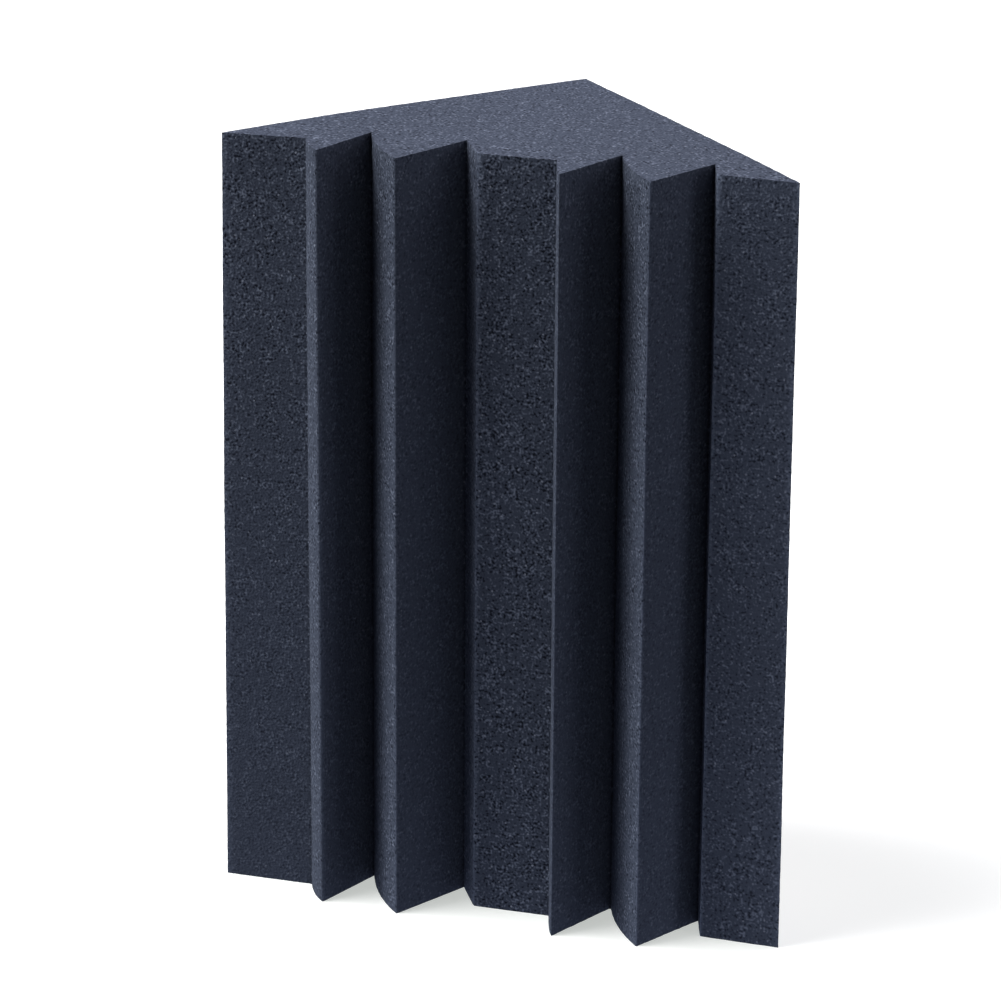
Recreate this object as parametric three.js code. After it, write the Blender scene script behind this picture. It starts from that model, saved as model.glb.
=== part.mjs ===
import * as THREE from 'three';

// Corner bass trap: an upright right-angled prism of open-cell foam. Its two square faces go against the walls
// of a room's corner, and its front is cut with two pairs of curved teeth between three flat panels.
// Millimetres, +Z up, the front towards -Y. The origin is the bottom centre of the bounding box.

// Foam block
const height = 240;
const wallWidth = 124; // width of each wall face, from the front edge to the back corner
const toothRise = 12.5; // how far a tooth stands in front of the flat panels
const grooveDepth = 11.2; // how far a groove goes behind them
const edgeRadius = 0.5; // softness of the foam's cut edges

// Tape strips on the wall faces, each with its release liner
const tapeLength = 80;
const tapeWidth = 25;
const tapeThickness = 1;
const tapeCornerRadius = 1.5;
const tapeEndMargin = 27; // from the foam's top or bottom face to the near edge of a tape
const linerThickness = 0.25;
const linerTabLength = 11; // the part of a liner that runs on past its tape, to pull it off by
const linerTabRadius = 5;
const seatGap = 0.3; // between faces that rest on each other

// Steps of a curve
const curveSteps = 7;

// The front, from its left end to its right. along is counted from the middle in widths of the front, and proud
// in tooth rises forwards or, below zero, in groove depths backwards. bulge is how far the run to the next
// corner bows out of the foam, in lengths of that run.
const frontShares = [
  { along: -0.5, proud: 0, bulge: 0 }, // left front edge, then the left panel
  { along: -0.345, proud: 0, bulge: 0.06 },
  { along: -0.304, proud: 0.9, bulge: 0 }, // first tooth
  { along: -0.251, proud: -1.04, bulge: 0.058 },
  { along: -0.166, proud: 0.99, bulge: 0 }, // second tooth
  { along: -0.085, proud: -1.07, bulge: 0 },
  { along: -0.0465, proud: 0, bulge: 0 }, // middle panel
  { along: 0.0905, proud: 0, bulge: 0.03 },
  { along: 0.116, proud: 1.08, bulge: 0 }, // third tooth
  { along: 0.185, proud: -0.97, bulge: 0.056 },
  { along: 0.267, proud: 1.03, bulge: 0 }, // fourth tooth
  { along: 0.3435, proud: -0.9, bulge: 0 },
  { along: 0.361, proud: 0, bulge: 0 }, // right panel, as far as the right front edge
  { along: 0.5, proud: 0, bulge: 0 },
];

const frontWidth = wallWidth * Math.SQRT2;
const cornerDepth = frontWidth / 2; // the back corner lies this far behind the flat panels

const foamMaterial = new THREE.MeshStandardMaterial({ color: '#3b404d', roughness: 1, metalness: 0 });
const tapeMaterial = new THREE.MeshStandardMaterial({ color: '#e4e2dc', roughness: 0.85, metalness: 0 });
const linerMaterial = new THREE.MeshStandardMaterial({ color: '#e2d3a4', roughness: 0.45, metalness: 0 });

function frontCorner({ along, proud }) {
  const depth = proud > 0 ? toothRise : grooveDepth;
  return new THREE.Vector2(along * frontWidth, -proud * depth);
}

// A run between two corners as a quadratic curve, whose control point stands off the middle of the straight
// line to the right of its direction, which is outside the foam on an outline drawn anticlockwise.
function runBetween(start, end, bulge) {
  const along = end.clone().sub(start);
  const outwards = new THREE.Vector2(along.y, -along.x);
  const control = start.clone().add(end).divideScalar(2).addScaledVector(outwards, 2 * bulge);
  return { start, control, end, length: along.length(), bulge };
}

// The point of a run's curve whose two blends are a and b: its control point when a is the start of a stretch
// and b is the end, and the curve itself where both are the same.
function blended({ start, control, end }, a, b) {
  return new THREE.Vector2()
    .addScaledVector(start, (1 - a) * (1 - b))
    .addScaledVector(control, a + b - 2 * a * b)
    .addScaledVector(end, a * b);
}

// The outline of the foam from above. Each run stops one edge radius short of its corners, and a small curve
// takes it round the corner into the next.
function foamOutline() {
  const corners = frontShares.map(frontCorner);
  corners.push(new THREE.Vector2(0, cornerDepth));
  const runs = corners.map((corner, i) =>
    runBetween(corner, corners[(i + 1) % corners.length], frontShares[i]?.bulge ?? 0));
  const outline = new THREE.Shape();
  runs.forEach((run, i) => {
    const trim = edgeRadius / run.length;
    const first = blended(run, trim, trim);
    const control = blended(run, trim, 1 - trim);
    const last = blended(run, 1 - trim, 1 - trim);
    const before = run.start;
    if (i === 0) outline.moveTo(first.x, first.y);
    else outline.quadraticCurveTo(before.x, before.y, first.x, first.y);
    if (run.bulge === 0) outline.lineTo(last.x, last.y);
    else outline.quadraticCurveTo(control.x, control.y, last.x, last.y);
  });
  const start = blended(runs[0], edgeRadius / runs[0].length, edgeRadius / runs[0].length);
  outline.quadraticCurveTo(corners[0].x, corners[0].y, start.x, start.y);
  return outline;
}

// A flat strip in the plane of a wall, from x = left to x = right and centred on its own height, with its own
// corner radius at each end.
function stripOutline(left, right, width, leftRadius, rightRadius) {
  const top = width / 2;
  const outline = new THREE.Shape();
  outline.moveTo(left + leftRadius, -top);
  outline.lineTo(right - rightRadius, -top);
  outline.absarc(right - rightRadius, -top + rightRadius, rightRadius, -Math.PI / 2, 0);
  outline.absarc(right - rightRadius, top - rightRadius, rightRadius, 0, Math.PI / 2);
  outline.lineTo(left + leftRadius, top);
  outline.absarc(left + leftRadius, top - leftRadius, leftRadius, Math.PI / 2, Math.PI);
  outline.absarc(left + leftRadius, -top + leftRadius, leftRadius, Math.PI, 1.5 * Math.PI);
  return outline;
}

function extruded(outline, depth) {
  return new THREE.ExtrudeGeometry(outline, { depth, steps: 1, curveSegments: curveSteps, bevelEnabled: false });
}

function makeFoamBody() {
  const foam = new THREE.Mesh(extruded(foamOutline(), height), foamMaterial);
  foam.name = 'foam_body';
  return foam;
}

// A strip that stands on a wall face: lift is how far its near side is from the foam.
function standOnWall(mesh, lift, thickness, middle) {
  mesh.rotation.x = Math.PI / 2;
  mesh.position.set(0, lift + thickness, middle);
  return mesh;
}

function makeTape(place, middle) {
  const half = tapeLength / 2;
  const outline = stripOutline(-half, half, tapeWidth, tapeCornerRadius, tapeCornerRadius);
  const tape = new THREE.Mesh(extruded(outline, tapeThickness), tapeMaterial);
  tape.name = `tape_${place}`;
  return standOnWall(tape, seatGap, tapeThickness, middle);
}

// The liner covers its tape, and its round-cornered tab points at the foam's front edge.
function makeLiner(place, middle, tabSide) {
  const half = tapeLength / 2;
  const free = half + linerTabLength;
  const outline = tabSide > 0
    ? stripOutline(-half, free, tapeWidth, tapeCornerRadius, linerTabRadius)
    : stripOutline(-free, half, tapeWidth, linerTabRadius, tapeCornerRadius);
  const liner = new THREE.Mesh(extruded(outline, linerThickness), linerMaterial);
  liner.name = `liner_${place}`;
  return standOnWall(liner, seatGap + tapeThickness + seatGap, linerThickness, middle);
}

// One wall face as a group: x runs along the face and y points out of it, towards the wall.
function makeWallFace(side, tabSide) {
  const face = new THREE.Group();
  const levels = {
    lower: tapeEndMargin + tapeWidth / 2,
    upper: height - tapeEndMargin - tapeWidth / 2,
  };
  for (const [level, middle] of Object.entries(levels)) {
    face.add(makeTape(`${side}_${level}`, middle), makeLiner(`${side}_${level}`, middle, tabSide));
  }
  face.position.set((tabSide * frontWidth) / 4, cornerDepth / 2, 0);
  face.rotation.z = (-tabSide * Math.PI) / 4;
  return face;
}

const trap = new THREE.Group();
const foamBody = makeFoamBody();
trap.add(foamBody, makeWallFace('left', -1), makeWallFace('right', 1));

// The outline is drawn with y = 0 on the flat panels. This moves the whole trap so that the foam's bounding
// box has its bottom centre on the origin.
foamBody.geometry.computeBoundingBox();
const drawnCentre = foamBody.geometry.boundingBox.getCenter(new THREE.Vector3());
trap.position.set(-drawnCentre.x, -drawnCentre.y, 0);

export default trap;
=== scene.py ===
import math
import bmesh
import bpy
from mathutils import Matrix, Vector


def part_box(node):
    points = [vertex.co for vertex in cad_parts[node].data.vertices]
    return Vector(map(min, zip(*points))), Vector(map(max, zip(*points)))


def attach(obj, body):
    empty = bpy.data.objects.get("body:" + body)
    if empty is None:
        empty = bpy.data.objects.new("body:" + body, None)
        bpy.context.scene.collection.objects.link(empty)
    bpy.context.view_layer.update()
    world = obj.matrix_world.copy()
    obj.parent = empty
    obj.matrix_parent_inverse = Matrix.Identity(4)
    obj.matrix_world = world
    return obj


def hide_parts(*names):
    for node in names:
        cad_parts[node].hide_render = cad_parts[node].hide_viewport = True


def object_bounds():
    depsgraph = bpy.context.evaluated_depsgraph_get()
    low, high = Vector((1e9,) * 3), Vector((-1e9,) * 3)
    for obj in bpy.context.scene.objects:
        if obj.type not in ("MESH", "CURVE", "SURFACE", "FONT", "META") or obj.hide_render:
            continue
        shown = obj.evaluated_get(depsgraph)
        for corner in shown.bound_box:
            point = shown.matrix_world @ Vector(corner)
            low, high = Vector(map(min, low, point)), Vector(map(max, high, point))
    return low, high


# Foam corner bass trap: the foam block, and on its two wall faces four strips of foam tape under their
# liners. Metres, +Z up, the toothed front towards -Y.
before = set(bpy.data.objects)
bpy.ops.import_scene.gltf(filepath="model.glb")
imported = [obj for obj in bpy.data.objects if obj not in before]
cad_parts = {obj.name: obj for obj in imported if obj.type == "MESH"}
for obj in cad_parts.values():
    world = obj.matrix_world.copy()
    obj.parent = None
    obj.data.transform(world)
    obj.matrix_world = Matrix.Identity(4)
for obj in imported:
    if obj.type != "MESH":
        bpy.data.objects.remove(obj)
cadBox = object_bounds()
print("frame loaded,", len(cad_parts), "nodes")


# Helpers for modelling

def pickOnly(piece):
    bpy.ops.object.select_all(action="DESELECT")
    piece.select_set(True)
    bpy.context.view_layer.objects.active = piece


def applyModifier(piece, kind, **settings):
    pickOnly(piece)
    modifier = piece.modifiers.new(kind.title(), kind)
    for name, value in settings.items():
        setattr(modifier, name, value)
    bpy.ops.object.modifier_apply(modifier=modifier.name)


def selectVertices(piece, wanted):
    bpy.ops.object.mode_set(mode="EDIT")
    bpy.ops.mesh.select_all(action="DESELECT")
    bpy.ops.object.mode_set(mode="OBJECT")
    for vertex in piece.data.vertices:
        vertex.select = wanted(vertex.co)
    bpy.ops.object.mode_set(mode="EDIT")


def cloudTexture(name, size, depth=2):
    texture = bpy.data.textures.new(name, "CLOUDS")
    texture.noise_scale = size
    texture.noise_depth = depth
    return texture


# Shader maths: a wire is a socket, and sums on wires add Math nodes

class Wire:
    def __init__(self, tree, socket=None):
        self.tree = tree
        self.socket = socket

    def node(self, kind, settings=None, inputs=None, out=0):
        made = self.tree.nodes.new(kind)
        for name, value in (settings or {}).items():
            if name == "stops":
                self.setStops(made.color_ramp, value)
            else:
                setattr(made, name, value)
        for name, value in (inputs or {}).items():
            if isinstance(value, Wire):
                self.tree.links.new(value.socket, made.inputs[name])
            else:
                made.inputs[name].default_value = value
        return Wire(self.tree, made.outputs[out])

    def setStops(self, ramp, stops):
        while len(ramp.elements) < len(stops):
            ramp.elements.new(1)
        for element, (position, level) in zip(ramp.elements, stops):
            element.position = position
            element.color = (level, level, level, 1)

    def math(self, operation, first, second):
        return self.node("ShaderNodeMath", {"operation": operation}, {0: first, 1: second})

    def __add__(self, other):
        return self.math("ADD", self, other)

    def __radd__(self, other):
        return self.math("ADD", other, self)

    def __sub__(self, other):
        return self.math("SUBTRACT", self, other)

    def __rsub__(self, other):
        return self.math("SUBTRACT", other, self)

    def __mul__(self, other):
        return self.math("MULTIPLY", self, other)

    def __rmul__(self, other):
        return self.math("MULTIPLY", other, self)

    def __pow__(self, other):
        return self.math("POWER", self, other)

    def ramp(self, *stops):
        return self.node("ShaderNodeValToRGB", {"stops": stops}, {"Fac": self})

    def noise(self, size, detail=2, roughness=0.5, out="Fac"):
        values = {"Vector": self, "Scale": 1 / size, "Detail": detail, "Roughness": roughness}
        return self.node("ShaderNodeTexNoise", {}, values, out)

    def mixed(self, first, second):
        return self.node("ShaderNodeMix", {"data_type": "RGBA"}, {0: self, 6: first, 7: second}, 2)


def newMaterial(name, look):
    # an empty material with its shader, and a wire that carries the object's own coordinates
    material = bpy.data.materials.new(name)
    material.use_nodes = True
    shader = material.node_tree.nodes["Principled BSDF"]
    shader.inputs["Roughness"].default_value = look["roughness"]
    shader.inputs["Specular IOR Level"].default_value = look["shine"]
    places = Wire(material.node_tree).node("ShaderNodeTexCoord", out="Object")
    return material, shader, places


def plugIn(shader, **wires):
    for name, wire in wires.items():
        wire.tree.links.new(wire.socket, shader.inputs[name.replace("_", " ")])


def opaque(colour):
    return (*colour, 1)


# Foam: open cells cut through, so that each face shows dark pits and the brighter ends of struts

foamFinish = {
    "roughness": 0.95,
    "shine": 0.15,
    "body": (0.042, 0.051, 0.075),
    "pit": (0.006, 0.008, 0.015),
    "speck": (0.125, 0.145, 0.195),
    "glint": (0.190, 0.210, 0.265),
    # painted highlight along the convex upright edges, where they catch the light
    "edgeHighlightColour": (0.073, 0.088, 0.126),
    # painted shade in the creases where the teeth meet the panels
    "crease": (0.018, 0.023, 0.036),
    "cellSize": 0.0014,
    "cellWobble": 0.0006,
    "cellMiddle": 0.45,
    "strutSize": 0.00073,
    "strutMiddle": 0.5,
    "cellShare": 0.30,
    "glintSize": 0.0026,
    "patchSize": 0.004,
    "driftSize": 0.07,
    "grainRelief": 2,
    "bumpDepth": 0.00016,
    # where each effect starts and ends on its noise, and its level there
    "patchStops": ((0.35, 0.55), (0.65, 1)),
    "speckStops": ((0.055, 0), (0.23, 1)),
    "pitStops": ((0.04, 0), (0.16, 1)),
    "glintStops": ((0.06, 1), (0.16, 0)),
    "driftStops": ((0.3, 0.95), (0.7, 1.05)),
}


def makeFoamMaterial():
    look = foamFinish
    material, shader, places = newMaterial("charcoalFoam", look)
    shift = places.noise(look["cellSize"], out="Color")
    wobble = places.node("ShaderNodeVectorMath", {"operation": "MULTIPLY_ADD"},
                         {0: shift, 1: (look["cellWobble"],) * 3, 2: places})
    cells = wobble.node("ShaderNodeTexVoronoi", {"feature": "F1"},
                        {"Vector": wobble, "Scale": 1 / look["cellSize"]}, "Distance")
    spots = wobble.node("ShaderNodeTexVoronoi", {"feature": "F1"},
                        {"Vector": wobble, "Scale": 1 / look["glintSize"]}, "Distance")
    coarse = places.node("ShaderNodeAttribute", {"attribute_name": "coarseness"}, out="Fac")
    patches = places.noise(look["patchSize"], detail=1, roughness=0.6).ramp(*look["patchStops"])
    struts = places.noise(look["strutSize"], detail=0) - look["strutMiddle"]
    share = look["cellShare"]
    grain = (struts * (1 - share) + (cells - look["cellMiddle"]) * share) * patches
    specks = grain.ramp(*look["speckStops"]) * coarse
    pits = (0 - grain).ramp(*look["pitStops"]) * coarse
    glints = spots.ramp(*look["glintStops"]) * patches * coarse
    drift = places.noise(look["driftSize"]).ramp(*look["driftStops"])
    # the tone is painted light and shade: it makes each kind of face lighter or darker, from the foot to
    # the top
    tone = places.node("ShaderNodeAttribute", {"attribute_name": "tone"}, out="Fac")
    # painted highlight on the convex upright edges
    fray = places.node("ShaderNodeAttribute", {"attribute_name": "fray"}, out="Fac") ** 2
    # painted shade in the creases, fading within a little of each crease
    crease = places.node("ShaderNodeAttribute", {"attribute_name": "fold"}, out="Fac") ** 2
    body = fray.mixed(opaque(look["body"]), opaque(look["edgeHighlightColour"]))
    plain = crease.mixed(body, opaque(look["crease"]))
    specked = specks.mixed(plain, opaque(look["speck"]))
    pitted = pits.mixed(specked, opaque(look["pit"]))
    dotted = glints.mixed(pitted, opaque(look["glint"]))
    shadedAndDrifted = places.node("ShaderNodeVectorMath", {"operation": "SCALE"},
                          {0: dotted, "Scale": drift * tone})
    bump = places.node("ShaderNodeBump", {}, {"Height": grain * look["grainRelief"],
                                              "Distance": look["bumpDepth"], "Strength": 1})
    plugIn(shader, Base_Color=shadedAndDrifted, Normal=bump)
    return material


# Foam block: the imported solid's own shape, with a fine even mesh and a faintly uneven cut

foamBlock = {
    "mergeDistance": 0.00001,
    "meshDepth": 8,           # with the scale, cells of 1.4 mm
    "meshScale": 0.68,
    "sharpEdge": math.radians(45),
    "cutWander": 0.0004,
    "cutWanderSize": 0.06,
    "cellRoughness": 0.00022,
    "cellRoughnessSize": 0.0018,
    # the angle that makes an upright edge convex or a crease, and how far the painted shade reaches from
    # a crease
    "edgeAngle": math.radians(25),
    "creaseReach": 0.0013,
    # from left to right in half widths of the block: the steps from a groove up to a panel, the left
    # flanks of the second and fourth tooth, and how far out the crests of the teeth reach
    "spans": {"step": ((-0.18, -0.09), (0.68, 0.73)), "hindFlank": ((-0.51, -0.33), (0.37, 0.54))},
    "crestReach": 0.9,
    # how coarse the grain is, and its tone, which is painted light and shade that makes each kind of face
    # lighter or darker, each at the foot and at the top
    "cut": {
        "leftPanel": {"coarseness": (0.4, 1.28), "tone": (1, 1)},
        "middlePanel": {"coarseness": (1.3, 1.26), "tone": (0.98, 1.07)},
        "rightPanel": {"coarseness": (0.8, 0.85), "tone": (1.04, 1.26)},
        "leftFlank": {"coarseness": (0.7, 0.9), "tone": (1.02, 1)},
        "hindFlank": {"coarseness": (0.7, 0.9), "tone": (1.22, 1)},
        "rightFlank": {"coarseness": (0.4, 0.5), "tone": (0.94, 0.95)},
        "step": {"coarseness": (0.7, 0.9), "tone": (1.6, 1.15)},
        "wall": {"coarseness": (0.9, 1.1), "tone": (1, 1)},
        "end": {"coarseness": (0.8, 0.8), "tone": (1, 1)},
    },
    "mapName": "OFBake",      # a map of this name is kept when the model is exported
    "mapSplit": math.radians(40),
    "mapMargin": 0.004,
    # how much of a face's normal points up or down, back, forwards, and up or down: more than the first
    # three makes it an end, a wall face or a panel, and less than the last one makes it upright
    "endLean": 0.7,
    "wallLean": 0.5,
    "panelLean": 0.9,
    "uprightLean": 0.5,
    "middlePanelShare": 1 / 3,
    # a cage of 7 by 2 by 3 points, and how far some of its corners are pushed
    "cage": (7, 2, 3),
    "pushed": {
        (0, 0, 2): (0.0012, 0, -0.0008),
        (0, 0, 0): (-0.0009, 0, 0),
        (6, 0, 2): (0, 0, -0.0004),
        (6, 0, 0): (0.0006, -0.0010, 0),
    },
}


def markEdges(foam):
    # the convex upright edges get a painted highlight, lighter than the faces beside them, and the
    # creases get painted shade, darker than them
    shape = bmesh.new()
    shape.from_mesh(foam.data)
    shape.verts.layers.float.new("fray")
    shape.verts.layers.float.new("fold")
    fray = shape.verts.layers.float["fray"]
    fold = shape.verts.layers.float["fold"]
    creases = set()
    for edge in shape.edges:
        upright = all(abs(face.normal.z) < foamBlock["uprightLean"] for face in edge.link_faces)
        angle = edge.calc_face_angle_signed(0)
        if upright and angle > foamBlock["edgeAngle"]:
            for vertex in edge.verts:
                vertex[fray] = 1
        if upright and angle < -foamBlock["edgeAngle"]:
            creases.update(vertex.co.xy.to_tuple(4) for vertex in edge.verts)
    for vertex in shape.verts:
        away = min((vertex.co.xy - Vector(crease)).length for crease in creases)
        vertex[fold] = max(0, 1 - away / foamBlock["creaseReach"])
    print("foam edges,", len(creases), "places of creases")
    shape.to_mesh(foam.data)
    shape.free()


def smoothCrests(foam):
    # light runs softly over the crests of the teeth, while the block's outer corners stay crisp
    bpy.ops.object.shade_smooth_by_angle(angle=foamBlock["sharpEdge"])
    fray = foam.data.attributes["fray"].data
    reach = foamBlock["crestReach"] * cadBox[1].x
    for edge in foam.data.edges:
        place = foam.data.vertices[edge.vertices[0]].co
        inFront = place.y < 0 and abs(place.x) < reach
        if inFront and all(fray[vertex].value == 1 for vertex in edge.vertices):
            edge.use_edge_sharp = False


def kindOfFace(face):
    if abs(face.normal.z) > foamBlock["endLean"]:
        return "end"
    if face.normal.y > foamBlock["wallLean"]:
        return "wall"
    share = face.center.x / cadBox[1].x
    if face.normal.y > -foamBlock["panelLean"]:
        if face.normal.x > 0:
            return "rightFlank"
        for kind, spans in foamBlock["spans"].items():
            if any(start < share < end for start, end in spans):
                return kind
        return "leftFlank"
    if abs(share) < foamBlock["middlePanelShare"]:
        return "middlePanel"
    return "leftPanel" if share < 0 else "rightPanel"


def markCut(foam, name):
    # each face gets its kind's value, which runs evenly from the foot of the block to its top
    marks = foam.data.attributes.new(name, "FLOAT", "FACE")
    for face, mark in zip(foam.data.polygons, marks.data):
        foot, top = foamBlock["cut"][kindOfFace(face)][name]
        mark.value = foot + (top - foot) * face.center.z / cadBox[1].z


def bendEdges(foam):
    # the thin front edges lean a little, as soft foam does once it has been packed
    columns, rows, levels = foamBlock["cage"]
    low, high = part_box("foam_body")
    bpy.ops.object.select_all(action="DESELECT")
    bpy.ops.object.add(type="LATTICE", location=(low + high) / 2)
    cage = bpy.context.object
    cage.scale = high - low
    cage.data.points_u, cage.data.points_v, cage.data.points_w = columns, rows, levels
    for axis in "uvw":
        setattr(cage.data, f"interpolation_type_{axis}", "KEY_LINEAR")
    bpy.context.view_layer.update()
    for (column, row, level), push in foamBlock["pushed"].items():
        point = cage.data.points[column + columns * (row + rows * level)]
        for axis in range(3):
            point.co_deform[axis] += push[axis] / cage.scale[axis]
    applyModifier(foam, "LATTICE", object=cage)
    bpy.data.objects.remove(cage)


def makeFoamBlock():
    sizes = foamBlock
    foam = bpy.data.objects.new("foam_block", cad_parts["foam_body"].data.copy())
    bpy.context.collection.objects.link(foam)
    foam.data.materials.clear()
    foam.data.materials.append(makeFoamMaterial())
    pickOnly(foam)
    bpy.ops.object.mode_set(mode="EDIT")
    bpy.ops.mesh.select_all(action="SELECT")
    bpy.ops.mesh.remove_doubles(threshold=sizes["mergeDistance"])
    bpy.ops.object.mode_set(mode="OBJECT")
    applyModifier(foam, "REMESH", mode="SHARP", octree_depth=sizes["meshDepth"], scale=sizes["meshScale"],
                  use_remove_disconnected=False)
    applyModifier(foam, "SHRINKWRAP", wrap_method="NEAREST_SURFACEPOINT",
                  target=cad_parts["foam_body"])
    markEdges(foam)
    smoothCrests(foam)
    markCut(foam, "coarseness")
    # the tone is painted light and shade for each kind of face
    markCut(foam, "tone")
    bpy.ops.object.mode_set(mode="EDIT")
    bpy.ops.mesh.select_all(action="SELECT")
    bpy.ops.uv.smart_project(angle_limit=sizes["mapSplit"], island_margin=sizes["mapMargin"])
    bpy.ops.object.mode_set(mode="OBJECT")
    foam.data.uv_layers.active.name = sizes["mapName"]
    wander = cloudTexture("cutWander", sizes["cutWanderSize"])
    applyModifier(foam, "DISPLACE", texture=wander, texture_coords="LOCAL",
                  strength=sizes["cutWander"], mid_level=0.5)
    cells = cloudTexture("cellRoughness", sizes["cellRoughnessSize"], depth=1)
    applyModifier(foam, "DISPLACE", texture=cells, texture_coords="LOCAL",
                  strength=sizes["cellRoughness"], mid_level=0.5)
    bendEdges(foam)
    for vertex in foam.data.vertices:    # the base stays flat on the floor
        vertex.co.z = max(vertex.co.z, 0)
    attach(foam, "trap")
    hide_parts("foam_body")
    print("foam block,", len(foam.data.polygons), "faces")


# Strips on the wall faces

def wallPlace(node):
    # where a strip lies: x along its wall towards the front edge, z out of the foam
    low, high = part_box(node)
    middle = (low + high) / 2
    out = Vector((math.copysign(1, middle.x), 1, 0)).normalized()
    along = Vector((out.x, -out.y, 0))
    across = out.cross(along)
    turned = Matrix((along, across, out)).transposed().to_4x4()
    return Matrix.Translation(middle) @ turned


def stripLength(node, thickness):
    low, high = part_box(node)
    return (high.x - low.x) * math.sqrt(2) - thickness


def stripWidth(node):
    low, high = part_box(node)
    return high.z - low.z


stripCorner = {"segments": 6, "smoothAngle": math.radians(40)}


def flatStrip(name, length, width, endRadius, freeRadius, step):
    # a flat outline with round corners, cut into short lengths so that it can bend
    bpy.ops.object.select_all(action="DESELECT")
    bpy.ops.mesh.primitive_plane_add(size=1)
    strip = bpy.context.object
    strip.name = name
    bpy.ops.object.mode_set(mode="EDIT")
    bpy.ops.transform.resize(value=(length, width, 1))
    for end, radius in ((-1, endRadius), (1, freeRadius)):
        selectVertices(strip, lambda place: place.x * end > length / 2 - radius / 2)
        bpy.ops.mesh.bevel(offset=radius, segments=stripCorner["segments"], affect="VERTICES")
    for axis, span in ((0, length), (1, width)):
        cuts = round(span / step)
        for i in range(1, cuts):
            place = [0, 0, 0]
            normal = [0, 0, 0]
            place[axis] = span * (i / cuts - 0.5)
            normal[axis] = 1
            bpy.ops.mesh.select_all(action="SELECT")
            bpy.ops.mesh.bisect(plane_co=place, plane_no=normal)
    bpy.ops.object.mode_set(mode="OBJECT")
    return strip


tapeStrip = {
    "thickness": 0.001,
    "seatGap": 0.0003,
    "cornerRadius": 0.0015,
    "step": 0.002,
    "softEdge": 0.0002,
    "softenFrom": math.radians(60),
    "unevenness": 0.00012,
    "unevennessSize": 0.004,
}

tapeFinish = {
    "roughness": 0.35,
    "stainRoughness": 0.3,
    "shine": 0.4,
    "body": (0.78, 0.77, 0.73),
    "stain": (0.70, 0.68, 0.62),
    "bubble": (0.5, 0.49, 0.45),
    "bubblesPerMetre": 2200,
    "bubbleStops": ((0, 0.35), (0.3, 0)),
    "stainSize": 0.006,
    "stainStops": ((0.35, 0), (0.7, 1)),
    "bumpDepth": 0.0001,
    "bumpStrength": 0.6,
}


def makeTapeMaterial():
    look = tapeFinish
    material, shader, places = newMaterial("whiteTapeFoam", look)
    bubbles = places.node("ShaderNodeTexVoronoi", {"feature": "SMOOTH_F1"},
                          {"Vector": places, "Scale": look["bubblesPerMetre"]}, "Distance")
    stains = places.noise(look["stainSize"], detail=3).ramp(*look["stainStops"])
    colour = stains.mixed(opaque(look["body"]), opaque(look["stain"]))
    pitted = bubbles.ramp(*look["bubbleStops"]).mixed(colour, opaque(look["bubble"]))
    bump = places.node("ShaderNodeBump", {}, {"Height": bubbles, "Distance": look["bumpDepth"],
                                              "Strength": look["bumpStrength"]})
    roughness = look["roughness"] + look["stainRoughness"] * stains
    plugIn(shader, Base_Color=pitted, Normal=bump, Roughness=roughness)
    return material


def makeTape(place, material):
    sizes = tapeStrip
    node = f"tape_{place}"
    tape = flatStrip(f"foam_tape_{place}", stripLength(node, sizes["thickness"]), stripWidth(node),
                     sizes["cornerRadius"], sizes["cornerRadius"], sizes["step"])
    tape.matrix_world = wallPlace(node)
    applyModifier(tape, "SOLIDIFY", thickness=sizes["thickness"] + sizes["seatGap"], offset=0)
    applyModifier(tape, "BEVEL", width=sizes["softEdge"], segments=2, angle_limit=sizes["softenFrom"])
    applyModifier(tape, "DISPLACE", texture=cloudTexture("tapeUnevenness", sizes["unevennessSize"]),
                  texture_coords="GLOBAL", strength=sizes["unevenness"], mid_level=0.5)
    bpy.ops.object.transform_apply(location=True, rotation=True, scale=True)
    bpy.ops.object.shade_smooth_by_angle(angle=stripCorner["smoothAngle"])
    tape.data.materials.append(material)
    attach(tape, "trap")
    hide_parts(node)


linerSheet = {
    "thickness": 0.00025,
    "cornerRadius": 0.0015,
    "tabRadius": 0.005,
    "step": 0.002,
    "tabLift": 0.003,
    "tabBend": 0.014,
    "gripShare": 0.25,        # the end that is lifted, in tab radii; the rest follows it in a curve
    "buckle": 0.0003,
    "buckleSize": 0.012,
}

linerFinish = {
    "roughness": 0.3,
    "fibreRoughness": 0.25,
    "shine": 0.5,
    "dark": (0.70, 0.60, 0.33),
    "light": (0.78, 0.70, 0.44),
    "toneStops": ((0.35, 0), (0.65, 1)),
    "fibreSize": 0.0012,
    "cloudSize": 0.02,
    "cloudShare": 0.5,
    "bumpDepth": 0.00005,
    "bumpStrength": 0.5,
}


def makeLinerMaterial():
    look = linerFinish
    material, shader, places = newMaterial("creamLinerPaper", look)
    fibres = places.noise(look["fibreSize"], detail=4, roughness=0.7)
    clouds = places.noise(look["cloudSize"])
    share = look["cloudShare"]
    tone = (fibres * (1 - share) + clouds * share).ramp(*look["toneStops"])
    colour = tone.mixed(opaque(look["dark"]), opaque(look["light"]))
    bump = places.node("ShaderNodeBump", {}, {"Height": fibres, "Distance": look["bumpDepth"],
                                              "Strength": look["bumpStrength"]})
    roughness = look["roughness"] + look["fibreRoughness"] * fibres
    plugIn(shader, Base_Color=colour, Normal=bump, Roughness=roughness)
    return material


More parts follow.
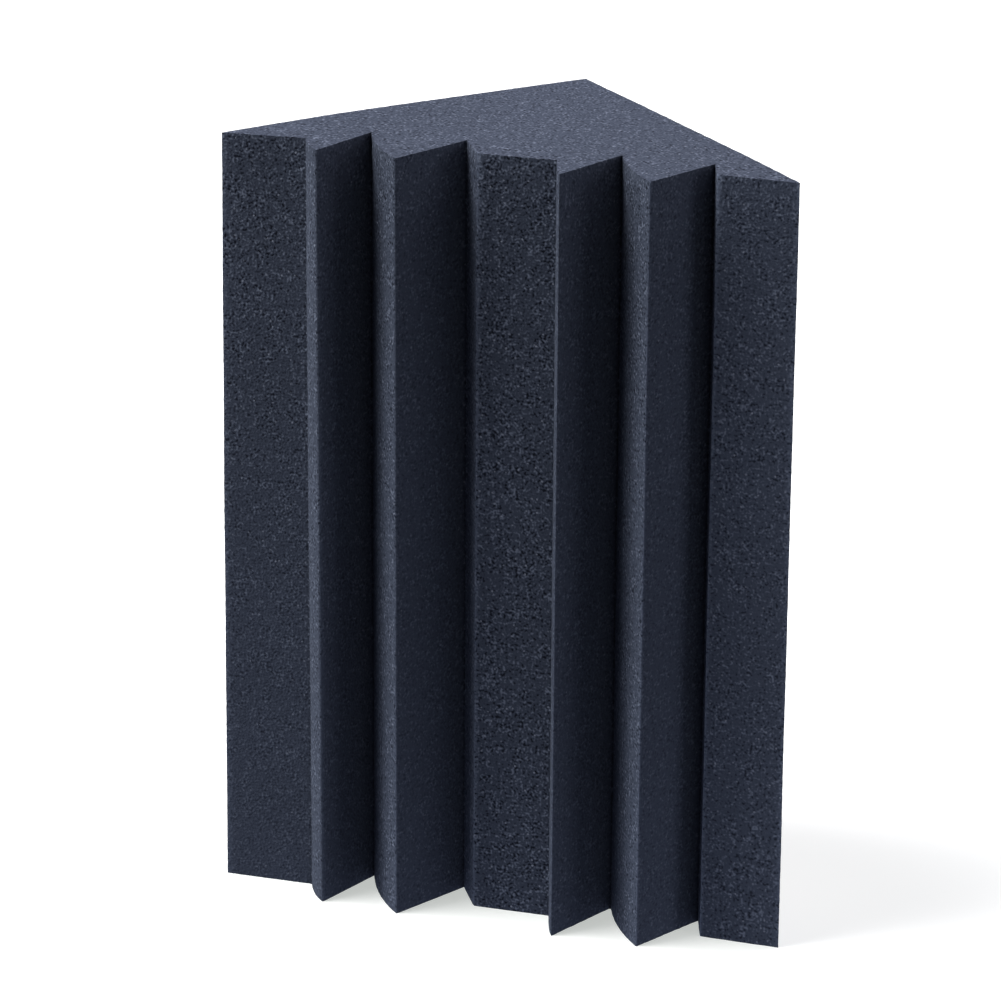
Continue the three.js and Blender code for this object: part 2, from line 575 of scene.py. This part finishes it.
def makeLiner(place, material):
    sizes = linerSheet
    node = f"liner_{place}"
    length = stripLength(node, sizes["thickness"])
    liner = flatStrip(f"paper_liner_{place}", length, stripWidth(node),
                      sizes["cornerRadius"], sizes["tabRadius"], sizes["step"])
    selectVertices(liner, lambda spot: spot.x > length / 2 - sizes["tabRadius"] * sizes["gripShare"])
    bpy.ops.transform.translate(value=(0, 0, sizes["tabLift"]), use_proportional_edit=True,
                                proportional_edit_falloff="SMOOTH", proportional_size=sizes["tabBend"])
    bpy.ops.object.mode_set(mode="OBJECT")
    liner.matrix_world = wallPlace(node)
    applyModifier(liner, "DISPLACE", texture=cloudTexture("linerBuckle", sizes["buckleSize"]),
                  texture_coords="GLOBAL", direction="Z", strength=sizes["buckle"], mid_level=0.5)
    applyModifier(liner, "SOLIDIFY", thickness=sizes["thickness"], offset=0)
    bpy.ops.object.transform_apply(location=True, rotation=True, scale=True)
    bpy.ops.object.shade_smooth_by_angle(angle=stripCorner["smoothAngle"])
    liner.data.materials.append(material)
    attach(liner, f"{place}_liner")
    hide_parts(node)


# Stage, camera and lights

stage = {
    "roughness": 0.9,
    "shine": 0.1,
    "floorSize": 40,
    "floorColour": (0.64, 0.64, 0.64),
    "floorGlow": (0.49, 0.51, 0.49),
    "farGlow": (1, 1, 1),
    "farDistance": 3,
    "farStops": ((0.4, 0), (1, 1)),
    "cardSize": 0.8,
    "cardDrop": 0.001,
    "cardColour": (0, 0, 0),
    "cardGlow": (0.40, 0.43, 0.54),
    "backdropColour": (1, 1, 1),
    "ambientColour": (0.02, 0.02, 0.022),
}


def makeGround(name, size, drop, colour, glow):
    bpy.ops.object.select_all(action="DESELECT")
    bpy.ops.mesh.primitive_plane_add(size=size, location=(0, 0, -drop))
    ground = bpy.context.object
    ground.name = name
    material, shader, places = newMaterial(f"{name}Paint", stage)
    shader.inputs["Base Color"].default_value = opaque(colour)
    shader.inputs["Emission Color"].default_value = opaque(glow)
    shader.inputs["Emission Strength"].default_value = 1
    ground.data.materials.append(material)
    return ground, shader, places


def makeStage():
    # beyond the reach of the lamps the floor glows more, so that it stays as white as the backdrop
    glow = stage["floorGlow"]
    floor, paint, places = makeGround("floor", stage["floorSize"], 0, stage["floorColour"], glow)
    distance = places.node("ShaderNodeVectorMath", {"operation": "LENGTH"}, {0: places}, "Value")
    far = (distance * (1 / stage["farDistance"])).ramp(*stage["farStops"])
    plugIn(paint, Emission_Color=far.mixed(opaque(glow), opaque(stage["farGlow"])))
    # the foam doesn't see the bright floor, only the dimmer card under it, which lights its foot
    floor.visible_diffuse = False
    floor.visible_glossy = False
    floor.visible_shadow = False
    card = makeGround("card", stage["cardSize"], stage["cardDrop"], stage["cardColour"],
                      stage["cardGlow"])[0]
    card.visible_camera = False
    world = bpy.data.worlds.new("studioAir")
    bpy.context.scene.world = world
    world.use_nodes = True
    seen = Wire(world.node_tree).node("ShaderNodeLightPath", out="Is Camera Ray")
    colour = seen.mixed(opaque(stage["ambientColour"]), opaque(stage["backdropColour"]))
    plugIn(world.node_tree.nodes["Background"], Color=colour)


view = {
    "place": (0.36165, -1.26696, 0.61423),
    "turn": math.radians(16.405),      # to the left of +Y
    "dip": math.radians(20.546),       # below the horizon
    "roll": math.radians(0.369),
    "lens": 166.13,
    "sensor": 36,
    "nearest": 0.05,
}


def makeCamera():
    bpy.ops.object.camera_add()
    camera = bpy.context.object
    camera.data.lens = view["lens"]
    camera.data.sensor_width = view["sensor"]
    camera.data.clip_start = view["nearest"]
    turned = Matrix.Rotation(view["turn"], 4, "Z") @ Matrix.Rotation(math.pi / 2 - view["dip"], 4, "X")
    placed = Matrix.Translation(view["place"]) @ turned
    camera.matrix_world = placed @ Matrix.Rotation(view["roll"], 4, "Z")
    bpy.context.scene.camera = camera


lights = {
    "keyLight": {"place": (-1.5, -0.54, 2.66), "size": 1.6, "power": 117, "tint": (1, 1, 1)},
    "leftLight": {"place": (-3.4, -0.6, 1.08), "size": 2, "power": 90, "tint": (1, 1, 0.98)},
    "rightLight": {"place": (3.5, -0.7, 1.08), "size": 2, "power": 30, "tint": (1, 1, 1.07)},
    "frontRightLight": {"place": (1.8, -3.3, 1.2), "size": 2, "power": 11.5, "tint": (1.02, 1, 0.96)},
    "backLight": {"place": (0.72, 1.43, 2.89), "size": 2.4, "power": 69, "tint": (1.01, 0.96, 1.05)},
}


def makeLights():
    aim = Vector((0, 0, cadBox[1].z / 2))
    for name, values in lights.items():
        place = Vector(values["place"])
        facing = (aim - place).to_track_quat("-Z", "Y")
        bpy.ops.object.light_add(type="AREA", location=place, rotation=facing.to_euler())
        lamp = bpy.context.object
        lamp.name = name
        lamp.data.size = values["size"]
        lamp.data.energy = values["power"]
        lamp.data.color = values["tint"]


bpy.context.scene.view_settings.view_transform = "Standard"
makeFoamBlock()
tapeMaterial = makeTapeMaterial()
linerMaterial = makeLinerMaterial()
for place in ("left_upper", "left_lower", "right_upper", "right_lower"):
    makeTape(place, tapeMaterial)
    makeLiner(place, linerMaterial)
print("tapes and liners")
makeStage()
makeCamera()
makeLights()
print("stage, camera and lights")
